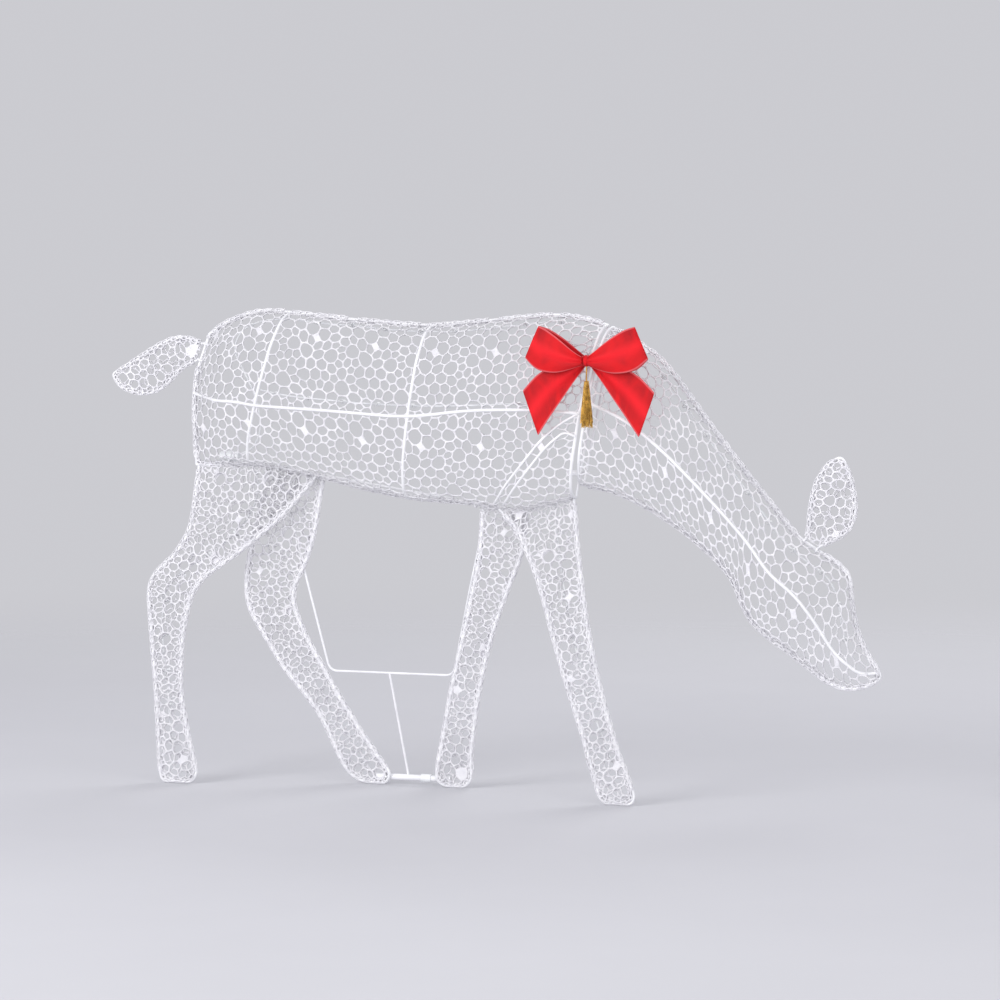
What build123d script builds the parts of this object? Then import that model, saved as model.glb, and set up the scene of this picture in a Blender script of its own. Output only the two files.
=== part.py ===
from build123d import *
from math import cos, radians, sin, tan
import os

# A grazing doe for the yard: a bent and welded wire frame that is a half relief towards -Y
# and open at the back (+Y), covered with white net, on two near legs and a folding rear
# stand. +X runs from tail to nose, +Z is up, and the origin is on the ground under the
# middle of the deer.

# Overall size. The silhouettes below are drawn for the standard deer and stretched to these.
deer_length = 1166.0
deer_height = 690.0
standard_length = 1166.0
standard_height = 690.0

# Frame wires
frame_wire = 4.6
light_wire = 3.4
stand_tube = 9.0
foot_collar = 12.0
sole = frame_wire / 2
widest_bend = 900.0

# Relief and stance
body_depth = 58.0
roundness = 0.8
foot_spread = 45.0
back_plane = 15.5
hinge_height = 450.0

# Net
net_thickness = 1.6
net_gap = 0.5
net_inset = 4.2

# Hinges and the push-in neck
eye_clearance = 0.5
eye_wire = 3.2
stand_back = frame_wire / 2 + eye_clearance + eye_wire + light_wire / 2 - 0.6
pin_diameter = 4.0
pin_length = 22.0
pin_clearance = 0.25
socket_wall = 1.4

# Lights
cord_diameter = 2.4
lamp_holder_diameter = 6.0
lamp_holder_length = 8.0
lens_diameter = 5.0
lens_length = 5.0
inlet_diameter = 15.0
inlet_length = 30.0
inlet_bore = 8.0
inlet_bore_depth = 12.0
contact_diameter = 1.6
contact_height = 1.2
contact_proud = 0.1
contact_offset = 1.9
strap_thickness = 1.6
strap_width = 6.0
clip_diameter = 4.0
coupler_diameter = 10.0
coupler_bore = 6.0
coupler_length = 24.0

# Bow
bow_width = 190.0
ribbon_thickness = 1.6
knot_size = 18.0
knot_depth = 17.0
tassel_cord_diameter = 1.6
tassel_length = 86.0


# Round parts are drawn from the middle of one end.
from_end = (Align.CENTER, Align.CENTER, Align.MIN)


# ---------------------------------------------------------------- helpers
def at(x, y, z):
    """A point of the standard deer, stretched to the chosen overall size."""
    return Vector(x * deer_length / standard_length, y, z * deer_height / standard_height)


def bend_radii(points):
    """One radius for each corner of an open path, as large as its two runs allow."""
    radii = []
    for before, here, after in zip(points, points[1:], points[2:]):
        one, two = here - before, after - here
        half = radians(max(one.get_angle(two), 0.05)) / 2
        radii.append(min(widest_bend, 0.45 * min(one.length, two.length) / tan(half)))
    return radii


def path_of(points, tightest=None):
    points = [Vector(*p) for p in points]
    radii = bend_radii(points)
    if tightest:
        radii = [min(r, tightest) for r in radii]
    if len(points) == 2:
        return Line(points[0], points[1])
    return FilletPolyline(*points, radius=radii)


def rod(points, diameter, tightest=None):
    """A round wire along a path of straight runs joined by tangent arcs."""
    path = path_of(points, tightest)
    section = Plane(origin=path @ 0, z_dir=path % 0) * Circle(diameter / 2)
    return sweep(section, path=path)


def straight(a, b, diameter):
    a, b = Vector(*a), Vector(*b)
    return Plane(origin=a, z_dir=b - a) * Cylinder(diameter / 2, (b - a).length, align=from_end)


def eye(centre, axis, wire):
    """A wire bent into a ring that turns on a straight stretch of a wire."""
    ring = wire / 2 + eye_clearance + eye_wire / 2
    return Plane(origin=centre, z_dir=axis) * Torus(ring, eye_wire / 2)


def near_leg(x, z, lift=0.0):
    """A point of the near legs' plane, which leans out towards -Y from the belly down."""
    return at(x, -foot_spread * (1 - z / hinge_height) + lift, z)


def stand_leg(x, z, lift=0.0):
    """A point of the rear stand's plane, which leans out towards +Y."""
    return at(x, stand_back + (foot_spread - stand_back) * (1 - z / hinge_height) + lift, z)


def relief_point(top, bottom, depth, angle, lift=0.0):
    """A point of the rounded relief between a top and a bottom wire, 0 to 180 degrees."""
    c, s = cos(radians(angle)), sin(radians(angle))
    along = (1 - (abs(c) ** roundness) * (1 if c >= 0 else -1)) / 2
    out = max(s, 0) ** roundness
    chord = bottom - top
    place = top + chord * along + Vector(0, -depth * out, 0)
    if not lift:
        return place
    ahead = relief_point(top, bottom, depth, min(angle + 1, 180))
    behind = relief_point(top, bottom, depth, max(angle - 1, 0))
    tangent = (ahead - behind).normalized()
    side = Vector(chord.Z, 0, -chord.X).normalized()
    return place + side.cross(tangent).normalized() * lift * (1 if side.X < 0 else -1)


def hoop(section):
    """The half hoop of a section, from the top wire to the bottom wire."""
    top, bottom, depth = section
    angles = (0, 12, 30, 58, 90, 122, 150, 168, 180)
    return rod([relief_point(top, bottom, depth, a) for a in angles], frame_wire)


def relief_net(sections):
    """The net over a row of sections, as one thin closed shell outside their hoops."""
    inner_lift = frame_wire / 2 + net_gap
    outer_lift = inner_lift + net_thickness
    angles = (5, 15, 35, 60, 90, 120, 145, 165, 175)
    rings = []
    for top, bottom, depth in sections:
        out = [relief_point(top, bottom, depth, a, outer_lift) for a in angles]
        back = [relief_point(top, bottom, depth, a, inner_lift) for a in reversed(angles)]
        rings.append(Wire(Polyline(*out, *back, close=True)))
    return Solid.make_loft(rings, ruled=True)


def flat_net(outline, place, lift):
    """A net panel inside a closed leg, tail or ear outline."""
    face = make_face(Polyline(*[place(x, z, 0) for x, z in outline], close=True))
    panel = offset(face, amount=-net_inset, kind=Kind.INTERSECTION)
    panel = panel.faces().sort_by(SortBy.AREA)[-1]
    normal = panel.normal_at()
    normal = normal if normal.Y < 0 else -normal
    panel = Pos(*(normal * lift)) * panel
    return extrude(panel, amount=net_thickness, dir=normal)


# ---------------------------------------------------------------- silhouettes (x, z)
rump_line = [(-425, 652), (-447, 592), (-450, 545), (-446, 462)]
spine_line = [
    (-425, 652), (-400, 670), (-345, 689), (-283, 684), (-205, 676), (-82, 667), (0, 675),
    (100, 686), (150, 682), (185, 671),
]
hinge_rise = -0.15
hinge_start = (-345.0, 465.0)


def hinge_line(x):
    return hinge_start[1] + hinge_rise * (x - hinge_start[0])


belly_line = [
    (-446, 462), (-350, hinge_line(-350)), (-270, hinge_line(-270)), (-175, 432), (-98, 420),
    (-40, hinge_line(-40)), (50, hinge_line(50)), (96, 418), (138, 428),
]
neck_top_line = [
    (193, 668), (232, 647), (269, 622), (322, 553), (373, 488), (429, 421), (462, 381),
    (501, 357), (523, 345), (538, 330), (541, 290), (548, 252), (562, 222), (579, 200),
]
throat_line = [
    (150, 446), (188, 441), (240, 420), (296, 386), (340, 352), (372, 318), (384, 281), (402, 254),
    (429, 235), (457, 217), (497, 187), (520, 173), (548, 172), (572, 180), (583, 190), (579, 200),
]
tail_line = [
    (-428, 644), (-467, 650), (-494, 642), (-522, 626), (-559, 603), (-580, 593), (-577, 584),
    (-560, 570), (-533, 564), (-511, 567), (-491, 580), (-472, 604), (-438, 616),
]
ear_line = [
    (487, 366), (480, 392), (481, 428), (488, 455), (502, 480), (526, 496), (535, 474), (544, 444),
    (546, 416), (537, 390), (508, 353),
]
rear_leg_near_line = [
    (-441, 461), (-447, 408), (-454, 364), (-476, 330), (-509, 302), (-517, 280), (-513, 246),
    (-504, 176), (-496, 110), (-488, 20), (-484, sole), (-438, sole), (-429, 16), (-445, 70),
    (-460, 130), (-461, 215), (-449, 272), (-432, 299), (-381, 333), (-311, 388), (-257, 450),
]
front_leg_near_line = [
    (24, 409), (51, 384), (83, 323), (111, 235), (127, 185), (159, 101), (188, 12), (196, sole),
    (236, sole), (240, 14), (206, 93), (186, 154), (162, 244), (150, 315), (142, 370), (136, 426),
]
rear_leg_stand_line = [
    (-338, 448), (-369, 335), (-378, 297), (-376, 255), (-341, 196), (-320, 163), (-268, 104),
    (-239, 37), (-224, 12), (-203, sole), (-168, sole), (-161, 17), (-187, 50), (-231, 116),
    (-288, 216), (-304, 258), (-304, 284), (-280, 328), (-267, 368), (-250, 442),
]
front_leg_stand_line = [
    (-4, 396), (-12, 340), (-37, 241), (-64, 138), (-76, 80), (-89, 24), (-89, 10), (-78, sole),
    (-46, sole), (-36, 14), (-36, 50), (-22, 139), (1, 227), (32, 302), (52, 345), (62, 392),
]

# Sections of the relief: the point on the top wire, the one on the bottom wire, and the depth
body_sections = [
    (at(-423, 0, 640), at(-436, 0, 472), body_depth * 0.35),
    (at(-390, 0, 669), at(-405, 0, 465), body_depth * 0.68),
    (at(-345, 0, 685), at(-380, 0, 466), body_depth * 0.88),
    (at(-296, 0, 684), at(-356, 0, 465.5), body_depth * 0.95),
    (at(-190, 0, 675), at(-235, 0, 446), body_depth),
    (at(-77, 0, 667), at(-112, 0, 421), body_depth),
    (at(20, 0, 677), at(-20, 0, 416), body_depth),
    (at(110, 0, 685), at(70, 0, 411), body_depth),
    (at(185, 0, 671), at(138, 0, 428), body_depth * 0.95),
]
hoop_places = {"rear_hoop": 3, "middle_hoop": 5, "shoulder_hoop": 8}
neck_sections = [
    (at(193, 0, 668), at(150, 0, 446), body_depth * 0.94),
    (at(250, 0, 635), at(205, 0, 434), body_depth * 0.91),
    (at(305, 0, 576), at(258, 0, 409), body_depth * 0.86),
    (at(345, 0, 523), at(300, 0, 383), body_depth * 0.8),
    (at(390, 0, 468), at(338, 0, 353), body_depth * 0.72),
    (at(429, 0, 421), at(371, 0, 320), body_depth * 0.66),
    (at(471, 0, 376), at(384, 0, 281), body_depth * 0.62),
    (at(523, 0, 346), at(407, 0, 251), body_depth * 0.58),
    (at(541, 0, 300), at(446, 0, 224), body_depth * 0.5),
    (at(550, 0, 246), at(490, 0, 192), body_depth * 0.36),
    (at(571, 0, 209), at(538, 0, 175), body_depth * 0.18),
]
ridge_angles = [90, 93, 96, 98, 94, 91, 89, 89, 90]


# ---------------------------------------------------------------- body section
def near_leg_wire(line):
    """A near leg's bent wire, with both ends welded to the near side of the belly wire."""
    points = [near_leg(x, z) for x, z in line]
    points[0].Y = points[-1].Y = -frame_wire * 0.7
    return rod(points, frame_wire)


def outline(line):
    return rod([at(x, 0, z) for x, z in line], frame_wire)


def body_ridge():
    points = [at(-450, 0, 566)]
    for section, angle in list(zip(body_sections, ridge_angles))[1:]:
        points.append(relief_point(*section, angle))
    return rod(points, frame_wire)


def neck_ridge():
    points = [relief_point(*s, 88) for s in neck_sections]
    return rod(points + [at(581, 0, 196)], frame_wire)


def between_sections(place, angle):
    """A point of the body's relief, place counting sections, so 6.5 is halfway past the 6th."""
    first = min(int(place), len(body_sections) - 2)
    share = place - first
    one, two = body_sections[first], body_sections[first + 1]
    top, bottom = one[0] + (two[0] - one[0]) * share, one[1] + (two[1] - one[1]) * share
    return relief_point(top, bottom, one[2] + (two[2] - one[2]) * share, angle)


arch_places = [(6.44, 168), (6.53, 155), (6.68, 136), (6.94, 117), (7.28, 102), (7.62, 94), (8, 90)]
arch_start = 22.0
arch_gap = (11.0, 0.13, 4.0, 11.0)


def shoulder_arches():
    """The two arched wires that carry the near front leg up the shoulder, under the net."""
    across, along, turn, end_turn = arch_gap
    made = []
    for second in (0, 1):
        x = arch_start + across * second
        points = [at(x, -2.0, hinge_line(x) + 1)]
        for place, angle in arch_places[:-1]:
            points.append(between_sections(place + along * second, angle + turn * second))
        points.append(between_sections(arch_places[-1][0], arch_places[-1][1] + end_turn * second))
        made.append(rod(points, light_wire))
    return Compound(children=[wire.solid() for wire in made])


def back_bar(section):
    """The straight wire that closes a hoop across the open back."""
    return straight(section[0], section[1], light_wire)


def neck_pin_places():
    """The body-side ends of the two push-in pins, level along +X."""
    top = body_sections[8][0] + (body_sections[8][1] - body_sections[8][0]) * 0.12
    low = body_sections[8][0] + (body_sections[8][1] - body_sections[8][0]) * 0.86
    offset_y = light_wire / 2 + pin_diameter / 2 + pin_clearance + socket_wall
    return [Vector(p.X, offset_y, p.Z) for p in (top, low)]


def sockets():
    bodies = []
    for p in neck_pin_places():
        inner = pin_diameter / 2 + pin_clearance
        tube = Cylinder(inner + socket_wall, pin_length + 2, align=from_end)
        tube -= Cylinder(inner, 3 * pin_length)
        bodies.append(Plane(origin=p - Vector(pin_length, 0, 0), z_dir=(1, 0, 0)) * tube)
    return Compound(children=[s for b in bodies for s in b.solids()])


def pins():
    """Two pins of the neck section, each with a cranked foot welded to its back bar."""
    bodies = []
    top, bottom, _ = neck_sections[0]
    for p in neck_pin_places():
        share = (p.Z - top.Z) / (bottom.Z - top.Z)
        foot = top + (bottom - top) * share
        corner = Vector(foot.X + 1, p.Y, p.Z)
        pin = straight(p - Vector(pin_length - 2, 0, 0), corner, pin_diameter)
        link = straight(corner - Vector(0, -pin_diameter / 2, 0), foot, pin_diameter)
        bodies.append((pin + link).solid())
    return Compound(children=bodies)


# ---------------------------------------------------------------- hinges
tail_eye_places = (15.0, 40.0)
ear_eye_places = (12.0, 34.0)


def tail_axis():
    a, b = at(-425, 0, 652), at(-447, 0, 592)
    return a, (b - a).normalized()


def tail_eyes():
    start, axis = tail_axis()
    return Compound(children=[eye(start + axis * d, axis, frame_wire).solid() for d in tail_eye_places])


def tail_wire():
    start, axis = tail_axis()
    reach = frame_wire / 2 + eye_clearance + eye_wire / 2
    ends = [start + axis * d - Vector(reach + 1.0, 0, 0) for d in tail_eye_places]
    points = [at(x, 0, z) for x, z in tail_line[1:-1]]
    return rod([ends[0]] + points + [ends[1]], light_wire)


def ear_axis():
    a, b = at(462, 0, 381), at(501, 0, 357)
    return a, (b - a).normalized()


def ear_eyes():
    start, axis = ear_axis()
    return Compound(children=[eye(start + axis * d, axis, frame_wire).solid() for d in ear_eye_places])


def ear_wire():
    start, axis = ear_axis()
    up = Vector(-axis.Z, 0, axis.X)
    reach = frame_wire / 2 + eye_clearance + eye_wire / 2 + 1.0
    ends = [start + axis * d + up * reach for d in ear_eye_places]
    points = [at(x, 0, z) for x, z in ear_line[1:-1]]
    return rod([ends[0]] + points + [ends[1]], light_wire)


stand_eye_places = (-316.0, -12.0)


def stand_hinge_axis():
    a, b = at(-345, 0, hinge_line(-345)), at(50, 0, hinge_line(50))
    return a, (b - a).normalized()


def stand_eyes():
    _, axis = stand_hinge_axis()
    rings = []
    for x in stand_eye_places:
        rings.append(eye(at(x, 0, hinge_line(x)), axis, frame_wire).solid())
    return Compound(children=rings)


def stand_top_wire():
    ends = [at(x, stand_back, hinge_line(x)) for x in (-342, 66)]
    return straight(*ends, light_wire)


# ---------------------------------------------------------------- stand
def stand_leg_wire(line):
    points = [stand_leg(x, z) for x, z in line[1:-1]]
    ends = [at(x, stand_back, hinge_line(x)) for x in (line[0][0], line[-1][0])]
    return rod([ends[0]] + points + [ends[1]], frame_wire)


brace_lift = 4.2
brace_line = [(-316, 452), (-285, 304), (-252, 164), (-60, 164), (-31, 290), (0, 404)]


def brace():
    points = [stand_leg(x, z, brace_lift) for x, z in brace_line]
    points[0] = at(-322, stand_back + 2.0, hinge_line(-322))
    points[-1] = at(2, stand_back + 2.0, hinge_line(2))
    return rod(points, light_wire, tightest=14.0)


def strut():
    return straight(stand_leg(-159, 164, brace_lift), stand_leg(-135, tube_height, tube_back), light_wire)


tube_back = frame_wire / 2 + stand_tube / 2 - 0.6
tube_height = 11.0


def foot_tube():
    ends = [stand_leg(x, tube_height, tube_back) for x in (-186, -70)]
    return straight(*ends, stand_tube)


def foot_tube_collar():
    ends = [stand_leg(x, tube_height, tube_back) for x in (-115, -100)]
    return straight(*ends, foot_collar) - foot_tube()


# ---------------------------------------------------------------- lights
body_cord_route = [
    (-383, 12, 478), (-362, 11, 486), (-348, 9, 512), (-352, 7, 556), (-372, 6, 596),
    (-390, 5, 630), (-378, 5, 658), (-346, 5, 673), (-300, 5, 676), (-250, 5, 669),
    (-200, 5, 667), (-145, 5, 661), (-90, 5, 659), (-38, 5, 660), (15, 5, 666), (65, 5, 672),
    (110, 5, 676), (145, 5, 670), (163, 2, 650), (160, -14, 626), (148, -30, 600),
    (130, -38, 576), (96, -42, 562), (45, -43, 560), (-10, -43, 557), (-65, -43, 555),
    (-120, -43, 556), (-175, -43, 558), (-230, -42, 562), (-285, -39, 566), (-330, -34, 574),
]
neck_cord_route = [
    (214, 9, 626), (236, 8, 626), (260, 6, 608), (288, 5, 572), (318, 5, 532), (350, 5, 490),
    (382, 5, 450), (413, 5, 410), (442, 5, 372), (474, 5, 346), (504, 5, 328), (520, 5, 298),
    (524, 5, 264), (532, 5, 236),
]
rear_leg_cord_route = [
    (-362, 461), (-350, 444), (-352, 408), (-378, 366), (-422, 332), (-466, 306), (-493, 278),
    (-496, 234), (-491, 184), (-482, 134), (-477, 84), (-468, 42),
]
front_leg_cord_start = [(104, 7, 446), (105, 5.4, 421), (107, 3.4, 405)]
front_leg_cord_route = [
    (109, 386), (115, 346), (124, 300), (136, 246), (151, 192), (168, 140),
    (189, 92), (208, 50),
]
leg_cord_lift = 4.6
body_lamp_shares = [0.17 + 0.0405 * i for i in range(21)]
neck_lamp_shares = [0.12 + 0.097 * i for i in range(10)]
rear_leg_lamp_shares = [0.26 + 0.1 * i for i in range(8)]
front_leg_lamp_shares = [0.26 + 0.12 * i for i in range(6)]
rear_leg_cord_start = [(-383, 12, 470)]


def body_points(route):
    return [at(*p) for p in route]


def leg_points(start, route):
    return body_points(start) + [near_leg(x, z, leg_cord_lift) for x, z in route]


def cord(points):
    return rod(points, cord_diameter)


def lamp_places(points, shares, sideways=False):
    """Where lamps sit along a cord, each with the way its lens faces: out, or to one side."""
    path = path_of(points)
    places = []
    for share in shares:
        along = path % share
        way = Vector(-along.Z, 0, along.X).normalized() if sideways else Vector(0, -1, 0)
        places.append((path @ share, way))
    return places


def lamp_holders(places):
    half = lamp_holder_length / 2
    made = [straight(p - way * half, p + way * half, lamp_holder_diameter) for p, way in places]
    return Compound(children=[holder.solid() for holder in made])


def lamp_lenses(places):
    made = []
    for p, way in places:
        face = Plane(origin=p + way * (lamp_holder_length / 2), z_dir=way)
        lens = Cylinder(lens_diameter / 2, lens_length, align=from_end)
        lens = fillet(lens.edges().sort_by(Axis.Z)[-1], lens_diameter * 0.4)
        made.append((face * lens).solid())
    return Compound(children=made)


inlet_place = (-383.0, 12.0, 474.0)


def inlet_housing():
    body = Cylinder(inlet_diameter / 2, inlet_length, align=from_end)
    body = fillet(body.edges().sort_by(Axis.Z)[0], 2.0)
    bore = Pos(0, 0, inlet_length) * Cylinder(inlet_bore / 2, 2 * inlet_bore_depth)
    return Plane(origin=at(*inlet_place), z_dir=(-1, 0, 0)) * (body - bore)


def inlet_contacts():
    """Two spring contacts let into the floor of the bore, where their tips stand just proud."""
    place = Plane(origin=at(*inlet_place), z_dir=(-1, 0, 0))
    floor = inlet_length - inlet_bore_depth + contact_proud - contact_height
    made = []
    for side in (-1, 1):
        contact = Cylinder(contact_diameter / 2, contact_height, align=from_end)
        made.append((place * Pos(0, side * contact_offset, floor) * contact).solid())
    return Compound(children=made)


def inlet_strap():
    """The clip that holds the inlet on the belly wire."""
    middle = at(*inlet_place) - Vector(inlet_length * 0.45, 0, 0)
    inner = inlet_diameter / 2
    ring = Cylinder(inner + strap_thickness, strap_width) - Cylinder(inner, 2 * strap_width)
    ring = Plane(origin=middle, z_dir=(-1, 0, 0)) * ring
    top = middle + Vector(0, -inner - 0.6, -2)
    arm = straight(top, Vector(middle.X, 0, at(0, 0, 465.5).Z), strap_width / 2)
    return (ring + arm).solid()


string_clip_places = [
    (-300, 684.9, 676), (-200, 675.7, 667), (-90, 667.7, 659), (15, 676.7, 666), (110, 685.4, 676),
]


def string_clips():
    """Moulded clips that hold the cord beside the spine wire."""
    made = []
    for x, wire_z, cord_z in string_clip_places:
        a, b = at(x, 0, wire_z), at(x, 5, cord_z)
        made.append(straight(a, b, clip_diameter).solid())
    return Compound(children=made)


def light_coupler(body_side):
    """The two halves of the connector between the body's and the neck's lights."""
    face = Vector(at(200, 0, 0).X, 9, at(0, 0, 626).Z)
    backwards = Plane(origin=face, z_dir=(-1, 0, 0))
    if body_side:
        shell = Cylinder(coupler_diameter / 2, coupler_length, align=from_end)
        return backwards * (shell - Cylinder(coupler_bore / 2, coupler_length))
    gap = 0.4
    reach = at(214, 0, 0).X - face.X - gap
    plug = Plane(origin=face + Vector(gap, 0, 0), z_dir=(1, 0, 0)) * Cylinder(
        coupler_diameter / 2, reach, align=from_end
    )
    nose = Pos(0, 0, -gap) * Cylinder(coupler_bore / 2 - gap, coupler_length * 0.42 + gap, align=from_end)
    return (plug + backwards * nose).solid()


# ---------------------------------------------------------------- bow
bow_centre = (180.0, -71.0, 619.0)


def bow_point(u, w, v):
    """A point of the bow: u across and v up as shares of the bow's width, w towards -Y."""
    c = at(*bow_centre)
    return Vector(c.X + u * bow_width, c.Y - w, c.Z + v * bow_width)


loop_stations = [
    (0.053, 0.025, 0.095, 3.0), (0.2, 0.059, 0.247, 8.0), (0.358, 0.109, 0.325, 10.0),
    (0.458, 0.054, 0.12, 7.0),
]


def ribbon_loop(side):
    """The space of one loop of ribbon, pinched at the knot and rounded at its outer fold."""
    rings = []
    for u, v, tall, deep in loop_stations:
        plane = Plane(origin=bow_point(side * u, 3.0, v), x_dir=(0, 0, 1), z_dir=(1, 0, 0))
        rings.append((plane * RectangleRounded(tall * bow_width, 1.6 * deep, deep * 0.5)).wire())
    return Solid.make_loft(rings, ruled=False)


tail_front = -6.2
tail_outline = [
    (0.05, -0.02), (0.16, 0.01), (0.5, -0.2), (0.39, -0.53), (0.22, -0.34), (0.05, -0.1),
]


def ribbon_tail(side):
    """One ribbon tail, falling outwards to a slanted tip."""
    edge = [bow_point(side * u, tail_front, v) for u, v in tail_outline]
    face = make_face(Polyline(*edge, close=True))
    return extrude(face, amount=ribbon_thickness * 1.5, dir=(0, 1, 0))


knot_share = 0.78


def knot():
    body = Box(knot_size * knot_share, knot_size, knot_depth)
    body = Plane(origin=bow_point(0, 4.5, 0.025), z_dir=(0, -1, 0)) * body
    return fillet(body.edges(), 5.0)


def bow_tie():
    """The twisted wire that ties the knot to the shoulder hoop behind it."""
    return straight(bow_point(0, -2.5, 0.02), relief_point(*body_sections[8], 60), 2.2)


def tassel_pivot():
    """The end of the tassel's thread, just under the knot."""
    return bow_point(0, 7.0, 0.025) - Vector(0, 0, knot_size * knot_share / 2 + 0.4)


thread_share = 0.24
cap_share = 0.14


def tassel_cord():
    top = tassel_pivot()
    return straight(top, top - Vector(0, 0, tassel_length * thread_share), tassel_cord_diameter)


def tassel_part(start, end, top_radius, bottom_radius):
    """A cone of the tassel between two shares of its length."""
    base = tassel_pivot() - Vector(0, 0, tassel_length * start)
    cone = Cone(top_radius, bottom_radius, tassel_length * (end - start), align=from_end)
    return Plane(origin=base, z_dir=(0, 0, -1)) * cone


def tassel_cap():
    return tassel_part(thread_share, thread_share + cap_share, 2.0, 4.0)


def tassel_skirt():
    return tassel_part(thread_share + cap_share, 1.0, 4.0, 9.0)


# ---------------------------------------------------------------- all nodes
def build():
    nodes = {}
    nodes["spine_wire"] = outline(spine_line)
    nodes["rump_wire"] = outline(rump_line)
    nodes["belly_wire"] = outline(belly_line)
    for name, i in hoop_places.items():
        nodes[name] = hoop(body_sections[i])
    nodes["body_ridge_wire"] = body_ridge()
    nodes["shoulder_back_bar"] = back_bar(body_sections[8])
    nodes["shoulder_arch_wires"] = shoulder_arches()
    nodes["neck_sockets"] = sockets()
    nodes["rear_leg_wire_near"] = near_leg_wire(rear_leg_near_line)
    nodes["front_leg_wire_near"] = near_leg_wire(front_leg_near_line)
    nodes["flank_net"] = relief_net(body_sections)
    nodes["rear_leg_net_near"] = flat_net(rear_leg_near_line, near_leg, 0.6)
    nodes["front_leg_net_near"] = flat_net(front_leg_near_line, near_leg, 0.6)

    nodes["neck_top_wire"] = outline(neck_top_line)
    nodes["throat_wire"] = outline(throat_line)
    nodes["neck_hoop"] = hoop(neck_sections[0])
    nodes["neck_ridge_wire"] = neck_ridge()
    nodes["neck_back_bar"] = back_bar(neck_sections[0])
    nodes["neck_pins"] = pins()
    nodes["neck_net"] = relief_net(neck_sections)

    nodes["tail_wire"] = tail_wire()
    nodes["tail_eyes"] = tail_eyes()
    nodes["tail_net"] = flat_net(tail_line, lambda x, z, lift: at(x, lift, z), 0.0)
    nodes["ear_wire"] = ear_wire()
    nodes["ear_eyes"] = ear_eyes()
    nodes["ear_net"] = flat_net(ear_line, lambda x, z, lift: at(x, lift, z), 0.0)

    nodes["stand_top_wire"] = stand_top_wire()
    nodes["stand_eyes"] = stand_eyes()
    nodes["rear_leg_wire_stand"] = stand_leg_wire(rear_leg_stand_line)
    nodes["front_leg_wire_stand"] = stand_leg_wire(front_leg_stand_line)
    nodes["rear_leg_net_stand"] = flat_net(rear_leg_stand_line, stand_leg, -0.8)
    nodes["front_leg_net_stand"] = flat_net(front_leg_stand_line, stand_leg, -0.8)
    nodes["brace_rod"] = brace()
    nodes["brace_strut"] = strut()
    nodes["foot_tube"] = foot_tube()
    nodes["foot_tube_collar"] = foot_tube_collar()

    body_route = body_points(body_cord_route)
    neck_route = body_points(neck_cord_route)
    rear_leg_route = leg_points(rear_leg_cord_start, rear_leg_cord_route)
    front_leg_route = leg_points(front_leg_cord_start, front_leg_cord_route)
    nodes["light_cord_body"] = cord(body_route)
    leg_cords = [cord(rear_leg_route), cord(front_leg_route)]
    nodes["light_cords_legs"] = Compound(children=[c.solid() for c in leg_cords])
    nodes["light_cord_neck"] = cord(neck_route)
    lamps = lamp_places(body_route, body_lamp_shares)
    lamps += lamp_places(rear_leg_route, rear_leg_lamp_shares, sideways=True)
    lamps += lamp_places(front_leg_route, front_leg_lamp_shares, sideways=True)
    nodes["lamp_holders_body"] = lamp_holders(lamps)
    nodes["lamp_lenses_body"] = lamp_lenses(lamps)
    lamps = lamp_places(neck_route, neck_lamp_shares)
    nodes["lamp_holders_neck"] = lamp_holders(lamps)
    nodes["lamp_lenses_neck"] = lamp_lenses(lamps)
    nodes["string_clips"] = string_clips()
    nodes["inlet_housing"] = inlet_housing()
    nodes["inlet_contacts"] = inlet_contacts()
    nodes["inlet_strap"] = inlet_strap()
    nodes["light_socket_body"] = light_coupler(True)
    nodes["light_plug_neck"] = light_coupler(False)

    nodes["bow_loop_rear"] = ribbon_loop(-1)
    nodes["bow_loop_front"] = ribbon_loop(1)
    nodes["bow_tail_rear"] = ribbon_tail(-1)
    nodes["bow_tail_front"] = ribbon_tail(1)
    nodes["bow_knot"] = knot()
    nodes["bow_tie_wire"] = bow_tie()
    nodes["tassel_cord"] = tassel_cord()
    nodes["tassel_cap"] = tassel_cap()
    nodes["tassel_skirt"] = tassel_skirt()
    return nodes


if __name__ == "__main__":
    os.makedirs("parts", exist_ok=True)
    for name, shape in build().items():
        placed = Pos(0, back_plane, 0) * shape
        placed.label = name
        export_step(placed, f"parts/{name}.step")
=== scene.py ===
import math
import random

import bmesh
import bpy
import numpy as np
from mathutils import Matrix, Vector
from mathutils.bvhtree import BVHTree
from mathutils.geometry import delaunay_2d_cdt
from mathutils.kdtree import KDTree


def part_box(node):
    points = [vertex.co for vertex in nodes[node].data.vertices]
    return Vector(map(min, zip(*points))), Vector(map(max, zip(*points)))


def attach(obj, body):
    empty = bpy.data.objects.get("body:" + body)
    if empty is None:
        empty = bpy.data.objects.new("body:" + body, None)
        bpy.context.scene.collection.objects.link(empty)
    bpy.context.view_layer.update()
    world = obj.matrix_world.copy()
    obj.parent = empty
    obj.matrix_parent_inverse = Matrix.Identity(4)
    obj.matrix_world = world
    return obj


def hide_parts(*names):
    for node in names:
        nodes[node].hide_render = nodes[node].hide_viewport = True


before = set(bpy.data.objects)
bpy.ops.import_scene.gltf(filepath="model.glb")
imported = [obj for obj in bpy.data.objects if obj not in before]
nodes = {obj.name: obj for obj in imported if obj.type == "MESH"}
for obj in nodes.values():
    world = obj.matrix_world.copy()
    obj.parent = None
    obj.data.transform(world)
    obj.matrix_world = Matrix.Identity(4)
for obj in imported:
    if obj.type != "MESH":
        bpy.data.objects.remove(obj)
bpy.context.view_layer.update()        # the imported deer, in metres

tau = 2 * math.pi
print("frame loaded:", len(nodes), "nodes")


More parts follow.
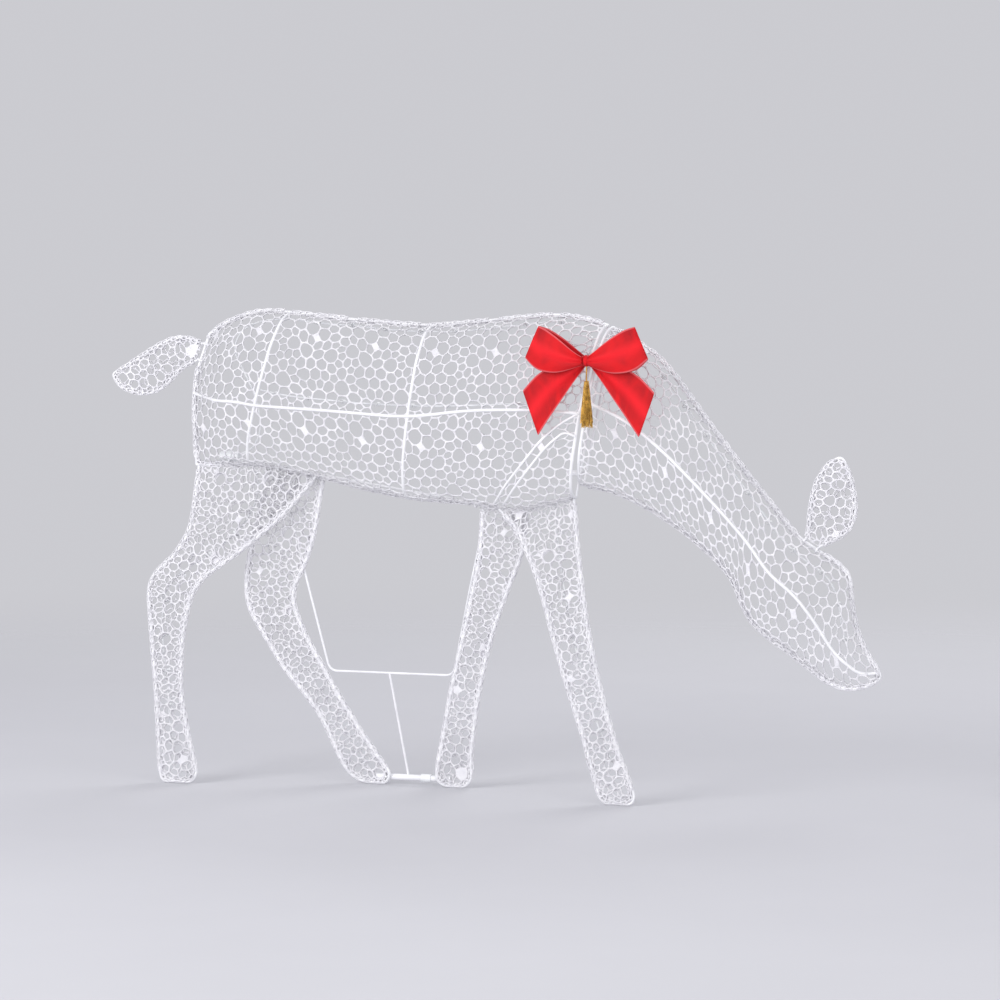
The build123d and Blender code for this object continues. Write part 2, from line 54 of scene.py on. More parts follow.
# small helpers for node trees
def put(tree, kind, sockets=None, **settings):
    node = tree.nodes.new(kind)
    for name, value in settings.items():
        setattr(node, name, value)
    for name, value in (sockets or {}).items():
        if isinstance(value, bpy.types.NodeSocket):
            tree.links.new(value, node.inputs[name])
        else:
            node.inputs[name].default_value = value
    return node


def calc(tree, operation, *values):
    return put(tree, "ShaderNodeMath", dict(enumerate(values)), operation=operation).outputs[0]


def openGroup(name, kind, inputs, outputs):
    tree = bpy.data.node_groups.new(name, kind)
    for label, socketKind, value in inputs:
        socket = tree.interface.new_socket(label, in_out="INPUT", socket_type="NodeSocket" + socketKind)
        if value is not None:
            socket.default_value = value
    for label, socketKind in outputs:
        tree.interface.new_socket(label, in_out="OUTPUT", socket_type="NodeSocket" + socketKind)
    return tree, tree.nodes.new("NodeGroupInput").outputs, tree.nodes.new("NodeGroupOutput").inputs


# shader groups shared by the finishes
def makeGrain():
    inputs = [("Vector", "Vector", None), ("Size", "Float", 900.0), ("Pits", "Float", 0.3)]
    tree, given, result = openGroup("coating grain", "ShaderNodeTree", inputs,
        [("Height", "Float"), ("Speckle", "Float")])
    fine = put(tree, "ShaderNodeTexNoise", {"Vector": given["Vector"], "Scale": given["Size"],
        "Detail": 4.0, "Roughness": 0.6})
    twice = calc(tree, "MULTIPLY", given["Size"], 0.45)
    cells = put(tree, "ShaderNodeTexVoronoi", {"Vector": given["Vector"], "Scale": twice})
    pits = calc(tree, "MULTIPLY", cells.outputs["Distance"], given["Pits"])
    tree.links.new(calc(tree, "ADD", fine.outputs[0], pits), result["Height"])
    tree.links.new(fine.outputs[0], result["Speckle"])
    return tree


def makeDrift():
    inputs = [("Vector", "Vector", None), ("First", "Color", None), ("Second", "Color", None),
        ("Size", "Float", 12.0), ("Bias", "Float", 0.5)]
    tree, given, result = openGroup("colour drift", "ShaderNodeTree", inputs,
        [("Colour", "Color"), ("Mask", "Float")])
    broad = put(tree, "ShaderNodeTexNoise", {"Vector": given["Vector"], "Scale": given["Size"],
        "Detail": 5.0, "Roughness": 0.62})
    low = calc(tree, "SUBTRACT", given["Bias"], 0.16)
    high = calc(tree, "ADD", given["Bias"], 0.16)
    mask = put(tree, "ShaderNodeMapRange", {"Value": broad.outputs[0], "From Min": low, "From Max": high})
    mixed = put(tree, "ShaderNodeMix", {0: mask.outputs[0], 6: given["First"], 7: given["Second"]},
        data_type="RGBA")
    tree.links.new(mixed.outputs[2], result["Colour"])
    tree.links.new(mask.outputs[0], result["Mask"])
    return tree


def makeYarn():
    inputs = [("Vector", "Vector", None), ("Pitch", "Float", 700.0), ("Fuzz", "Float", 0.5)]
    tree, given, result = openGroup("yarn twist", "ShaderNodeTree", inputs, [("Height", "Float"), ("Shade",
        "Float")])
    twist = put(tree, "ShaderNodeTexWave", {"Vector": given["Vector"], "Scale": given["Pitch"],
        "Distortion": 5.0, "Detail": 2.0, "Detail Scale": 1.6}, bands_direction="DIAGONAL")
    fuzz = put(tree, "ShaderNodeTexNoise", {"Vector": given["Vector"], "Scale": calc(tree, "MULTIPLY",
        given["Pitch"], 2.6), "Detail": 3.0})
    height = calc(tree, "ADD", twist.outputs["Fac"], calc(tree, "MULTIPLY", fuzz.outputs[0], given["Fuzz"]))
    tree.links.new(height, result["Height"])
    tree.links.new(twist.outputs["Fac"], result["Shade"])
    return tree


def makeScuffs():
    inputs = [("Vector", "Vector", None), ("Colour", "Color", None), ("Bare", "Color", None),
        ("Size", "Float", 60.0), ("Amount", "Float", 0.3)]
    tree, given, result = openGroup("scuffs", "ShaderNodeTree", inputs, [("Colour", "Color"), ("Mask",
        "Float")])
    patches = put(tree, "ShaderNodeTexNoise", {"Vector": given["Vector"], "Scale": given["Size"],
        "Detail": 8.0, "Roughness": 0.7})
    edge = calc(tree, "SUBTRACT", 1.0, given["Amount"])
    mask = put(tree, "ShaderNodeMapRange", {"Value": patches.outputs[0], "From Min": edge,
        "From Max": calc(tree, "ADD", edge, 0.05)})
    mixed = put(tree, "ShaderNodeMix", {0: mask.outputs[0], 6: given["Colour"], 7: given["Bare"]},
        data_type="RGBA")
    tree.links.new(mixed.outputs[2], result["Colour"])
    tree.links.new(mask.outputs[0], result["Mask"])
    return tree


def makePile():
    inputs = [("UV", "Vector", None), ("Pile", "Float", 900.0), ("Nap", "Float", 14.0)]
    tree, given, result = openGroup("velvet pile", "ShaderNodeTree", inputs, [("Height", "Float"), ("Nap",
        "Float"), ("Selvedge", "Float")])
    pile = put(tree, "ShaderNodeTexNoise", {"Vector": given["UV"], "Scale": given["Pile"], "Detail": 2.0,
        "Roughness": 0.5})
    nap = put(tree, "ShaderNodeTexNoise", {"Vector": given["UV"], "Scale": given["Nap"], "Detail": 3.0,
        "Distortion": 0.6})
    across = put(tree, "ShaderNodeSeparateXYZ", {0: given["UV"]}).outputs[1]
    fromEdge = calc(tree, "MINIMUM", across, calc(tree, "SUBTRACT", 0.05, across))
    edge = put(tree, "ShaderNodeMapRange", {"Value": fromEdge, "From Min": 0.0026, "From Max": 0.0012})
    tree.links.new(pile.outputs[0], result["Height"])
    tree.links.new(nap.outputs[0], result["Nap"])
    tree.links.new(edge.outputs[0], result["Selvedge"])
    return tree


groups = {"grain": makeGrain(), "drift": makeDrift(), "yarn": makeYarn(), "scuffs": makeScuffs(),
    "pile": makePile()}


def useGroup(tree, name, sockets):
    return put(tree, "ShaderNodeGroup", sockets, node_tree=groups[name]).outputs


def rgb(red, green, blue):
    return (red, green, blue, 1.0)


def startFinish(name, uv=False, **fixed):
    made = bpy.data.materials.new(name)
    made.use_nodes = True
    tree = made.node_tree
    shader = tree.nodes["Principled BSDF"]
    for label, value in fixed.items():
        shader.inputs[label.replace("_", " ")].default_value = value
    place = tree.nodes.new("ShaderNodeTexCoord").outputs["UV" if uv else "Object"]
    return made, tree, shader, place


def bump(tree, shader, height, distance, strength=1.0):
    node = put(tree, "ShaderNodeBump", {"Strength": strength, "Distance": distance, "Height": height})
    tree.links.new(node.outputs[0], shader.inputs["Normal"])


def roughen(tree, shader, value, low, high):
    node = put(tree, "ShaderNodeMapRange", {"Value": value, "To Min": low, "To Max": high})
    tree.links.new(node.outputs[0], shader.inputs["Roughness"])


coating = {"white": rgb(0.80, 0.80, 0.82), "shade": rgb(0.70, 0.70, 0.73), "bare": rgb(0.36, 0.36, 0.38),
    "grain": 1100.0, "wear": 0.27}


def coatedWire():
    made, tree, shader, place = startFinish("white coated wire", Specular_IOR_Level=0.45, Coat_Weight=0.12,
        Coat_Roughness=0.3)
    drift = useGroup(tree, "drift", {"Vector": place, "First": coating["white"],
        "Second": coating["shade"], "Size": 34.0})
    scuffs = useGroup(tree, "scuffs", {"Vector": place, "Colour": drift["Colour"], "Bare": coating["bare"],
        "Size": 85.0, "Amount": coating["wear"]})
    grain = useGroup(tree, "grain", {"Vector": place, "Size": coating["grain"], "Pits": 0.4})
    tree.links.new(scuffs["Colour"], shader.inputs["Base Color"])
    roughen(tree, shader, grain["Speckle"], 0.32, 0.58)
    bump(tree, shader, grain["Height"], 0.00012)
    return made


yarnLook = {"light": rgb(0.90, 0.89, 0.92), "grey": rgb(0.74, 0.73, 0.78), "pitch": 620.0}


def netYarn():
    made, tree, shader, place = startFinish("white net yarn", Specular_IOR_Level=0.35, Sheen_Weight=0.25,
        Sheen_Roughness=0.4)
    yarn = useGroup(tree, "yarn", {"Vector": place, "Pitch": yarnLook["pitch"], "Fuzz": 0.6})
    drift = useGroup(tree, "drift", {"Vector": place, "First": yarnLook["light"],
        "Second": yarnLook["grey"], "Size": 55.0, "Bias": 0.56})
    # painted shade: the yarn is greyed along its twist pattern, following the same wave as its bump
    strand = put(tree, "ShaderNodeMix", {0: calc(tree, "MULTIPLY", yarn["Shade"], 0.22),
        6: drift["Colour"], 7: yarnLook["grey"]}, data_type="RGBA")
    tree.links.new(strand.outputs[2], shader.inputs["Base Color"])
    roughen(tree, shader, yarn["Shade"], 0.42, 0.66)
    bump(tree, shader, yarn["Height"], 0.00025)
    return made


def mouldedPlastic(name, first, second, low, high):
    made, tree, shader, place = startFinish(name, Specular_IOR_Level=0.5)
    drift = useGroup(tree, "drift", {"Vector": place, "First": first, "Second": second, "Size": 90.0})
    grain = useGroup(tree, "grain", {"Vector": place, "Size": 650.0, "Pits": 0.15})
    tree.links.new(drift["Colour"], shader.inputs["Base Color"])
    roughen(tree, shader, grain["Speckle"], low, high)
    bump(tree, shader, grain["Height"], 0.00005)
    return made


def clearLens():
    made, tree, shader, place = startFinish("clear lens", Transmission_Weight=0.35, IOR=1.49)
    grain = useGroup(tree, "grain", {"Vector": place, "Size": 500.0, "Pits": 0.2})
    drift = useGroup(tree, "drift", {"Vector": place, "First": rgb(0.96, 0.97, 1.0),
        "Second": rgb(0.88, 0.89, 0.90), "Size": 260.0})
    tree.links.new(drift["Colour"], shader.inputs["Base Color"])
    roughen(tree, shader, grain["Speckle"], 0.18, 0.34)
    bump(tree, shader, grain["Height"], 0.00003)
    return made


def metal(name, first, second, size, low, high):
    made, tree, shader, place = startFinish(name, Metallic=1.0)
    drift = useGroup(tree, "drift", {"Vector": place, "First": first, "Second": second, "Size": size})
    yarn = useGroup(tree, "yarn", {"Vector": place, "Pitch": 900.0, "Fuzz": 0.8})
    tree.links.new(drift["Colour"], shader.inputs["Base Color"])
    roughen(tree, shader, yarn["Shade"], low, high)
    bump(tree, shader, yarn["Height"], 0.0001)
    return made


# bright is the painted highlight colour of a band along the ribbon's middle; its place across the ribbon is
# set here too
velvetLook = {"red": rgb(0.60, 0.004, 0.008), "deep": rgb(0.34, 0.004, 0.008), "bright": rgb(0.78, 0.010,
    0.018),
              "edge": rgb(0.62, 0.10, 0.11), "band": 0.025}


def velvet():
    made, tree, shader, place = startFinish("red velvet", uv=True, Specular_IOR_Level=0.25,
        Sheen_Weight=0.14, Sheen_Roughness=0.35, Sheen_Tint=rgb(1.0, 0.2, 0.2))
    pile = useGroup(tree, "pile", {"UV": place, "Pile": 1500.0, "Nap": 26.0})
    nap = put(tree, "ShaderNodeMapRange", {"Value": pile["Nap"], "From Min": 0.35, "From Max": 0.68})
    brushed = put(tree, "ShaderNodeMix", {0: nap.outputs[0], 6: velvetLook["red"], 7: velvetLook["deep"]},
        data_type="RGBA")
    # painted highlight: a bright band along the middle of the ribbon, where the loops' ridge faces the
    # light
    across = put(tree, "ShaderNodeSeparateXYZ", {0: place}).outputs[1]
    off = calc(tree, "ABSOLUTE", calc(tree, "SUBTRACT", across, velvetLook["band"]))
    band = put(tree, "ShaderNodeMapRange", {"Value": off, "From Min": 0.0, "From Max": 0.013,
        "To Min": 0.75, "To Max": 0.0}, interpolation_type="SMOOTHSTEP")
    painted_highlight_mix = put(tree, "ShaderNodeMix", {0: band.outputs[0], 6: brushed.outputs[2],
        7: velvetLook["bright"]}, data_type="RGBA")
    edged = put(tree, "ShaderNodeMix", {0: pile["Selvedge"], 6: painted_highlight_mix.outputs[2], 7: velvetLook["edge"]},
        data_type="RGBA")
    tree.links.new(edged.outputs[2], shader.inputs["Base Color"])
    roughen(tree, shader, pile["Height"], 0.55, 0.85)
    bump(tree, shader, pile["Height"], 0.0003)
    return made


goldLook = {"bright": rgb(0.95, 0.60, 0.14), "dark": rgb(0.30, 0.15, 0.03)}


def goldThread():
    made, tree, shader, place = startFinish("gold thread", Metallic=0.75)
    yarn = useGroup(tree, "yarn", {"Vector": place, "Pitch": 500.0, "Fuzz": 0.7})
    drift = useGroup(tree, "drift", {"Vector": place, "First": goldLook["bright"],
        "Second": goldLook["dark"], "Size": 160.0})
    tree.links.new(drift["Colour"], shader.inputs["Base Color"])
    roughen(tree, shader, yarn["Shade"], 0.22, 0.5)
    bump(tree, shader, yarn["Height"], 0.0002)
    return made


finishes = {
    "wire": coatedWire(),
    "yarn": netYarn(),
    "fitting": mouldedPlastic("white moulded fitting", rgb(0.78, 0.79, 0.80), rgb(0.70, 0.71, 0.73), 0.28,
    0.5),
    "cord": mouldedPlastic("white cord", rgb(0.76, 0.77, 0.78), rgb(0.66, 0.67, 0.70), 0.35, 0.55),
    "lens": clearLens(),
    "brass": metal("brass contact", rgb(0.82, 0.58, 0.26), rgb(0.62, 0.42, 0.18), 400.0, 0.2, 0.4),
    "velvet": velvet(),
    "gold": goldThread(),
    "tie": metal("brown tie wire", rgb(0.20, 0.12, 0.08), rgb(0.08, 0.05, 0.04), 300.0, 0.35, 0.6),
}
plainNodes = {
    "brass": ["inlet_contacts"],
    "lens": ["lamp_lenses_body", "lamp_lenses_neck"],
    "cord": ["light_cord_body", "light_cords_legs", "light_cord_neck"],
    "tie": ["bow_tie_wire"],
    "fitting": ["lamp_holders_body", "lamp_holders_neck", "string_clips", "inlet_housing", "inlet_strap",
                "light_socket_body", "light_plug_neck", "foot_tube_collar"],
}
finishOf = {name: finish for finish, names in plainNodes.items() for name in names}
for name, piece in nodes.items():
    piece.data.materials.clear()
    piece.data.materials.append(finishes[finishOf.get(name, "wire")])
print("finishes made:", len(finishes))


# reading the CAD
def mergedCopy(*names):
    made = bmesh.new()
    for name in names:
        made.from_mesh(nodes[name].data)
    bmesh.ops.remove_doubles(made, verts=made.verts, dist=1e-6)
    made.normal_update()
    made.verts.index_update()
    return made


def surfaceOf(*names):
    merged = mergedCopy(*names)
    tree = BVHTree.FromBMesh(merged)
    merged.free()
    return tree


def rimLoop(name):
    # the outline of a net's panel as seen from the front, in order
    merged = mergedCopy(name)
    near = {}
    for edge in merged.edges:
        towards = [face.normal.y < -0.0001 for face in edge.link_faces]
        if len(towards) == 2 and towards[0] != towards[1]:
            a, b = (v.index for v in edge.verts)
            near.setdefault(a, []).append(b)
            near.setdefault(b, []).append(a)
    places = [v.co.copy() for v in merged.verts]
    merged.free()
    left, loops = set(near), []
    for start in sorted(near):
        if start not in left:
            continue
        left.discard(start)
        loop = [start]
        while True:
            onwards = [n for n in near[loop[-1]] if n in left]
            if not onwards:
                break
            loop.append(onwards[0])
            left.discard(onwards[0])
        loops.append([places[i] for i in loop])
    return max(loops, key=lambda loop: sum((q - p).length for p, q in zip(loop, loop[1:])))


def evenly(points, step, closed):
    ring = points + points[:1] if closed else points
    runs = [(b - a).length for a, b in zip(ring, ring[1:])]
    total = sum(runs)
    count = max(3, round(total / step))
    made, walked, i = [], 0.0, 0
    for k in range(count if closed else count + 1):
        goal = total * k / count
        while i < len(runs) - 1 and walked + runs[i] < goal:
            walked += runs[i]
            i += 1
        made.append(ring[i].lerp(ring[i + 1], min(1.0, (goal - walked) / max(runs[i], 1e-9))))
    return made


snap = {"pushes": (0.0, 0.006, 0.006, 0.003), "step": 0.004, "closest": 0.0015}


def outlineAlong(name, wires):
    # the net's edge moved on to the middle of the wires that it is tied to
    trees = [(surfaceOf(wire), radius) for wire, radius in wires.items()]

    def middle(point):
        hits = [(*tree.find_nearest(point), radius) for tree, radius in trees]
        place, normal, _, _, radius = min(hits, key=lambda hit: hit[3])
        return place - normal * radius

    loop = rimLoop(name)
    for push in snap["pushes"]:
        loop = evenly(loop, snap["step"], True)
        turning = sum(a.x * b.z - b.x * a.z for a, b in zip(loop, loop[1:] + loop[:1]))
        way = 1 if turning > 0 else -1
        moved = []
        for before, here, after in zip(loop[-1:] + loop[:-1], loop, loop[1:] + loop[:1]):
            along = after - before
            side = Vector((along.z, 0, -along.x)).normalized() * way
            moved.append(middle(here + side * push))
        loop = [moved[0]]
        for point in moved[1:]:
            if (point - loop[-1]).length > snap["closest"]:
                loop.append(point)
    return loop


# the knitted pattern, which repeats along the fabric
pattern = {"across": 0.091, "down": 0.136, "cell": 0.0118, "openCell": 0.020, "openCells": 8,
           "stars": [(0.020, 0.030)], "starSize": 0.0035, "tries": 2600, "seed": 7}


def patternTile():
    rnd = random.Random(pattern["seed"])
    wide, tall = pattern["across"], pattern["down"]
    cells = [(x, z, pattern["starSize"], 1.0) for x, z in pattern["stars"]]

    def free(x, z, size):
        for cx, cz, other, _ in cells:
            dx, dz = abs(x - cx), abs(z - cz)
            if math.hypot(min(dx, wide - dx), min(dz, tall - dz)) < (size + other) / 2:
                return False
        return True

    for _ in range(pattern["tries"]):
        big = len(cells) < 2 + pattern["openCells"]
        size = pattern["openCell"] if big else pattern["cell"] * rnd.uniform(0.78, 1.22)
        x, z = rnd.uniform(0, wide), rnd.uniform(0, tall)
        if free(x, z, size):
            cells.append((x, z, size, 0.0))
    return cells


tile = patternTile()


def inside(x, z, ring):
    found = False
    for (ax, az), (bx, bz) in zip(ring, ring[1:] + ring[:1]):
        if (az > z) != (bz > z) and x < (bx - ax) * (z - az) / (bz - az) + ax:
            found = not found
    return found


def fillWithCells(ring, scale, shift, edgeGap=0.6):
    # ring is the flat outline; gives flat points, triangles and which points are stars
    tree = KDTree(len(ring) * 3)
    for i, (a, b) in enumerate(zip(ring, ring[1:] + ring[:1])):
        for k in range(3):
            tree.insert((a[0] + (b[0] - a[0]) * k / 3, a[1] + (b[1] - a[1]) * k / 3, 0), i * 3 + k)
    tree.balance()
    wide, tall = pattern["across"] * scale, pattern["down"] * scale
    xs, zs = [p[0] for p in ring], [p[1] for p in ring]
    flat, stars = list(ring), [0.0] * len(ring)
    for column in range(math.floor((min(xs) - shift[0]) / wide),
        math.ceil((max(xs) - shift[0]) / wide) + 1):
        for row in range(math.floor((min(zs) - shift[1]) / tall),
            math.ceil((max(zs) - shift[1]) / tall) + 1):
            for x, z, size, star in tile:
                px, pz = shift[0] + column * wide + x * scale, shift[1] + row * tall + z * scale
                if inside(px, pz, ring) and tree.find((px, pz, 0))[2] > edgeGap * size * scale:
                    flat.append((px, pz))
                    stars.append(star)
    done = delaunay_2d_cdt([Vector(p) for p in flat], [], [list(range(len(ring)))], 1, 1e-7)
    points = [(v.x, v.y) for v in done[0]]
    origin = [ids[0] if ids else 0 for ids in done[3]]
    return points, [list(face) for face in done[2]], [stars[i] for i in origin]


# geometry nodes: turns a triangulated sheet into net with one rounded hole for each point
def makeNetTree():
    inputs = [("Geometry", "Geometry", None), ("Half Thread", "Float", 0.0012),
        ("Unevenness", "Float", 0.42),
              ("Wander", "Float", 0.0008), ("Corners", "Float", 0.6), ("Seed", "Int", 3),
              ("Finish", "Material", None)]
    tree, given, result = openGroup("knitted net", "GeometryNodeTree", inputs, [("Geometry", "Geometry")])
    dual = put(tree, "GeometryNodeDualMesh", {"Mesh": given["Geometry"], "Keep Boundaries": True})
    where = put(tree, "GeometryNodeInputPosition").outputs[0]
    sway = put(tree, "ShaderNodeTexNoise", {"Vector": where, "Scale": 160.0, "Detail": 1.0})
    centred = put(tree, "ShaderNodeVectorMath", {0: sway.outputs["Color"], 1: (0.5, 0.5, 0.5)},
        operation="SUBTRACT")
    step = put(tree, "ShaderNodeVectorMath", {0: centred.outputs[0], 3: given["Wander"]}, operation="SCALE")
    moved = put(tree, "GeometryNodeSetPosition", {"Geometry": dual.outputs[0], "Offset": step.outputs[0]})
    grown = put(tree, "GeometryNodeExtrudeMesh", {"Mesh": moved.outputs[0], "Offset Scale": 0.0,
        "Individual": True}, mode="FACES")
    area = put(tree, "GeometryNodeInputMeshFaceArea").outputs[0]
    reach = calc(tree, "SQRT", calc(tree, "DIVIDE", area, math.pi))
    low = calc(tree, "SUBTRACT", 1.0, given["Unevenness"])
    high = calc(tree, "ADD", 1.0, given["Unevenness"])
    uneven = put(tree, "FunctionNodeRandomValue", {2: low, 3: high, 8: given["Seed"]}, data_type="FLOAT")
    width = calc(tree, "MULTIPLY", given["Half Thread"], uneven.outputs[1])
    share = calc(tree, "MAXIMUM", calc(tree, "SUBTRACT", 1.0, calc(tree, "DIVIDE", width, reach)), 0.12)
    holes = put(tree, "GeometryNodeScaleElements", {"Geometry": grown.outputs["Mesh"],
        "Selection": grown.outputs["Top"], "Scale": share}, domain="FACE")
    star = put(tree, "GeometryNodeInputNamedAttribute", {"Name": "star"}, data_type="FLOAT")
    plain = put(tree, "FunctionNodeCompare", {0: star.outputs[0], 1: 0.5}, operation="LESS_THAN")
    both = put(tree, "FunctionNodeBooleanMath", {0: grown.outputs["Top"], 1: plain.outputs[0]},
        operation="AND")
    opened = put(tree, "GeometryNodeDeleteGeometry", {"Geometry": holes.outputs[0],
        "Selection": both.outputs[0]}, domain="FACE")
    # partly creased points keep the holes' corners when the thread is rounded
    firm = put(tree, "GeometryNodeStoreNamedAttribute", {"Geometry": opened.outputs[0],
        "Name": "crease_vert", "Value": given["Corners"]}, data_type="FLOAT", domain="POINT")
    soft = put(tree, "GeometryNodeSetShadeSmooth", {0: firm.outputs[0]})
    real = put(tree, "GeometryNodeRealizeInstances", {0: soft.outputs[0]})
    last = put(tree, "GeometryNodeSetMaterial", {"Geometry": real.outputs[0], "Material": given["Finish"]})
    tree.links.new(last.outputs[0], result["Geometry"])
    return tree


netTree = makeNetTree()


def meshPiece(name, points, faces, stars=None):
    mesh = bpy.data.meshes.new(name)
    mesh.from_pydata([tuple(p) for p in points], [], faces)
    if stars is not None:
        mesh.attributes.new("star", "FLOAT", "POINT").data.foreach_set("value", stars)
    piece = bpy.data.objects.new(name, mesh)
    bpy.context.scene.collection.objects.link(piece)
    return piece


def addTree(piece, tree, values):
    modifier = piece.modifiers.new("nodes", "NODES")
    modifier.node_group = tree
    for item in tree.interface.items_tree:
        if item.item_type == "SOCKET" and item.in_out == "INPUT" and item.name in values:
            modifier[item.identifier] = values[item.name]
    return modifier


def settle(piece):
    # the finished shape becomes a plain mesh and the modifiers go
    bpy.context.view_layer.update()
    seen = piece.evaluated_get(bpy.context.evaluated_depsgraph_get())
    mesh = bpy.data.meshes.new_from_object(seen, preserve_all_data_layers=True,
        depsgraph=bpy.context.evaluated_depsgraph_get())
    piece.modifiers.clear()
    old, piece.data = piece.data, mesh
    mesh.name = piece.name
    if old.users == 0:
        bpy.data.meshes.remove(old)
    return piece


def thicken(piece, thickness, offset):
    # gives a sheet its thickness, rounds it and makes it a plain mesh
    wall = piece.modifiers.new("wall", "SOLIDIFY")
    wall.thickness, wall.offset = thickness, offset
    smooth = piece.modifiers.new("round", "SUBSURF")
    smooth.levels = smooth.render_levels = 1
    settle(piece)
    piece.data.polygons.foreach_set("use_smooth", [True] * len(piece.data.polygons))


thread = {"half": 0.00078, "thick": 0.0017, "wander": 0.0008}


def knit(name, points, faces, stars, half, thick, seed):
    piece = meshPiece(name, points, faces, stars)
    values = {"Half Thread": half, "Seed": seed, "Wander": thread["wander"], "Finish": finishes["yarn"]}
    addTree(piece, netTree, values)
    thicken(piece, thick, 0.0)
    return piece


wireRadius, lightRadius = 0.0023, 0.0017


# the nets over the flank and the neck follow the relief from one outline wire to the other
reliefs = {
    "flank_net": {"body": "body_frame", "wires": {"spine_wire": wireRadius, "rump_wire": wireRadius,
    "belly_wire": wireRadius, "shoulder_hoop": wireRadius},
                  "start": "rump_wire", "end": "shoulder_hoop", "columns": 96, "shift": (0.012, 0.02)},
    "neck_net": {"body": "neck_section", "wires": {"neck_top_wire": wireRadius, "throat_wire": wireRadius,
    "neck_hoop": wireRadius},
                 "start": "neck_hoop", "end": None, "columns": 110, "shift": (0.03, -0.01)},
}
relief = {
    "rows": 44, "sweeps": 160, "rimStep": 0.0105,
    "inset": 0.0044,     # the net is knotted in level with its wires
}


def nearestIndex(loop, point):
    return min(range(len(loop)), key=lambda i: (loop[i].x - point.x) ** 2 + (loop[i].z - point.z) ** 2)


def between(loop, a, b, byTop):
    # the part of a closed loop from index a to b that runs higher or lower
    one = [loop[(a + k) % len(loop)] for k in range((b - a) % len(loop) + 1)]
    two = [loop[(a - k) % len(loop)] for k in range((a - b) % len(loop) + 1)]
    height = lambda part: sum(p.z for p in part) / len(part)
    return max(one, two, key=height) if byTop else min(one, two, key=height)


def shorter(loop, a, b):
    one = [loop[(a + k) % len(loop)] for k in range((b - a) % len(loop) + 1)]
    two = [loop[(a - k) % len(loop)] for k in range((a - b) % len(loop) + 1)]
    return min(one, two, key=len)


def ends(name):
    points = [v.co for v in nodes[name].data.vertices]
    return max(points, key=lambda p: p.z), min(points, key=lambda p: p.z)


def exactly(points, count):
    total = sum((b - a).length for a, b in zip(points, points[1:]))
    return evenly(points, total / count * 0.99999,
        False)[:count + 1] if total > 1e-6 else [points[0].copy() for _ in range(count + 1)]


def reliefGrid(name, plan):
    loop = outlineAlong(name, plan["wires"])
    startTop, startLow = ends(plan["start"])
    a, d = nearestIndex(loop, startTop), nearestIndex(loop, startLow)
    if plan["end"]:
        endTop, endLow = ends(plan["end"])
        b, c = nearestIndex(loop, endTop), nearestIndex(loop, endLow)
        front = exactly(shorter(loop, b, c), relief["rows"])
        if front[0].z < front[-1].z:
            front.reverse()
    else:
        b = c = max(range(len(loop)), key=lambda i: loop[i].x)
        front = [loop[b]] * (relief["rows"] + 1)
    columns = plan["columns"]
    top = exactly(between(loop, a, b, True), columns)
    low = exactly(between(loop, d, c, False), columns)
    rear = exactly(shorter(loop, a, d), relief["rows"])
    shell = surfaceOf(name)
    grid, known = [], []
    for i in range(columns + 1):
        t = i / columns
        rowPoints, rowKnown = [], []
        for j in range(relief["rows"] + 1):
            v = (1 - math.cos(math.pi * j / relief["rows"])) / 2
            place = top[i].lerp(low[i], v)
            place += (rear[min(relief["rows"], round(v * relief["rows"]))] - rear[0].lerp(rear[-1],
                v)) * (1 - t) ** 3
            place += (front[min(relief["rows"], round(v * relief["rows"]))] - front[0].lerp(front[-1],
                v)) * t ** 3
            edge = j in (0, relief["rows"])
            hit = None if edge else shell.ray_cast(Vector((place.x, -1, place.z)), Vector((0, 1, 0)))[0]
            if hit is not None:
                place.y = hit.y + relief["inset"]
            elif edge:
                place.y = (top[i] if j == 0 else low[i]).y
            fixed = edge or hit is not None or (i == 0 and plan["start"] == "rump_wire")
            rowPoints.append(place)
            rowKnown.append(fixed)
        grid.append(rowPoints)
        known.append(rowKnown)
    for _ in range(relief["sweeps"]):
        for i in range(columns + 1):
            for j in range(1, relief["rows"]):
                if not known[i][j]:
                    around = [grid[k][m].y for k, m in ((i - 1, j), (i + 1, j), (i, j - 1),
                        (i, j + 1)) if 0 <= k <= columns]
                    grid[i][j].y = sum(around) / len(around)
    return grid, loop


def unrolled(grid):
    # distances along the middle and across each column, so that cells keep their size on the relief
    middle = len(grid[0]) // 2
    along, across = [0.0], []
    for i, column in enumerate(grid):
        if i:
            steps = [(column[j] - grid[i - 1][j]).length for j in range(middle // 2, middle + middle // 2,
                3)]
            along.append(along[-1] + sum(steps) / len(steps))
        lengths = [0.0]
        for p, q in zip(column, column[1:]):
            lengths.append(lengths[-1] + (q - p).length)
        half = lengths[-1] / 2
        across.append([s - half for s in lengths])
    return along, across


def onGrid(u, s, grid, along, across):
    i = max(k for k in range(len(along) - 1) if along[k] <= max(u, 0.0))
    share = min(1.0, max(0.0, (u - along[i]) / max(along[i + 1] - along[i], 1e-9)))

    def onColumn(k):
        lengths, column = across[k], grid[k]
        value = min(max(s, lengths[0]), lengths[-1])
        for j in range(len(lengths) - 1):
            if value <= lengths[j + 1]:
                break
        return column[j].lerp(column[j + 1],
            min(1.0, max(0.0, (value - lengths[j]) / max(lengths[j + 1] - lengths[j], 1e-9))))

    return onColumn(i).lerp(onColumn(i + 1), share)


def ringOf(along, across):
    lower = [(u, a[0]) for u, a in zip(along, across)]
    upper = [(u, a[-1]) for u, a in zip(along, across)]
    ring = [Vector((u, 0, s)) for u, s in lower + upper[::-1]]
    clean = [ring[0]]
    for p in ring[1:]:
        if (p - clean[-1]).length > 0.0005:
            clean.append(p)
    return [(p.x, p.z) for p in evenly(clean, relief["rimStep"], True)]


outlines, pieces, flats = {}, {}, {}
netShare = 0.5     # how much of a flat net is thread


def placeLace(name, body, piece):
    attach(piece, body)
    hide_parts(name)
    pieces[name] = piece
    print(name, "knitted, faces", len(piece.data.polygons))


